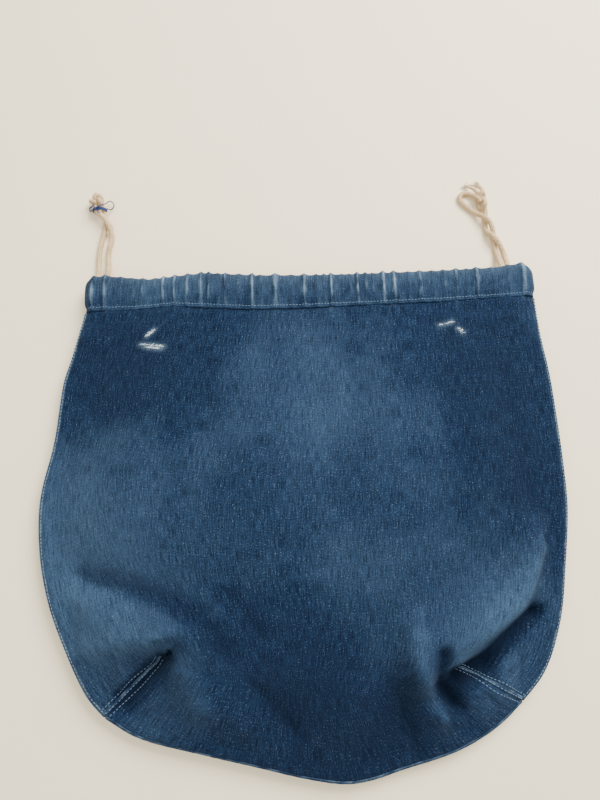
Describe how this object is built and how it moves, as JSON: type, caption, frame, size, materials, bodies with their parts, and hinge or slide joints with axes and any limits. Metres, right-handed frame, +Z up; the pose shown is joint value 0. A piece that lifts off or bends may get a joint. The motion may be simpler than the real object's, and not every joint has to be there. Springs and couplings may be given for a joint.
{
  "type": "mail sack",
  "caption": "Denim mail sack with a boxed bottom, a gathered drawstring casing round its mouth, felled side seams and a knotted cotton cord at each side, lying on its back nearly empty.",
  "frame": {"origin": "on the table under the middle of the sack, without its cords: the middle of its footprint", "axes": "+X to the right across the sack, +Y along it from the bottom to the mouth, +Z up from the back panel that it lies on"},
  "size_m": [0.5132, 0.597, 0.055],
  "materials": {
    "denim": "faded blue denim twill, matt, worn paler on its edges",
    "cotton_cord": "twisted unbleached cotton cord, matt",
    "sewing_thread": "pale blue-grey cotton thread, matt",
    "tie_thread": "dark blue cotton thread, slight sheen"
  },
  "bodies": {
    "sack": {"front_panel": "denim", "back_panel": "denim", "front_casing": "denim", "back_casing": "denim", "left_side_seam": "denim", "right_side_seam": "denim", "bottom_seam": "denim", "left_corner_seam": "denim", "right_corner_seam": "denim", "front_casing_stitching": "sewing_thread", "back_casing_stitching": "sewing_thread", "left_side_stitching": "sewing_thread", "right_side_stitching": "sewing_thread", "left_drawcord_run": "cotton_cord", "right_drawcord_run": "cotton_cord"},
    "left_drawcord": {"left_strand_a": "cotton_cord", "left_strand_b": "cotton_cord", "left_knot": "cotton_cord", "left_tie_thread": "tie_thread"},
    "right_drawcord": {"right_strand_a": "cotton_cord", "right_strand_b": "cotton_cord", "right_knot": "cotton_cord", "right_cord_end_1": "cotton_cord", "right_cord_end_2": "cotton_cord"}
  },
  "joints": [
    {"name": "left_drawcord_pull", "type": "slide", "parent": "sack", "child": "left_drawcord", "axis": [0, 1, 0], "range_m": [0, 0.03]},
    {"name": "right_drawcord_pull", "type": "slide", "parent": "sack", "child": "right_drawcord", "axis": [0, 1, 0], "range_m": [0, 0.03]}
  ]
}
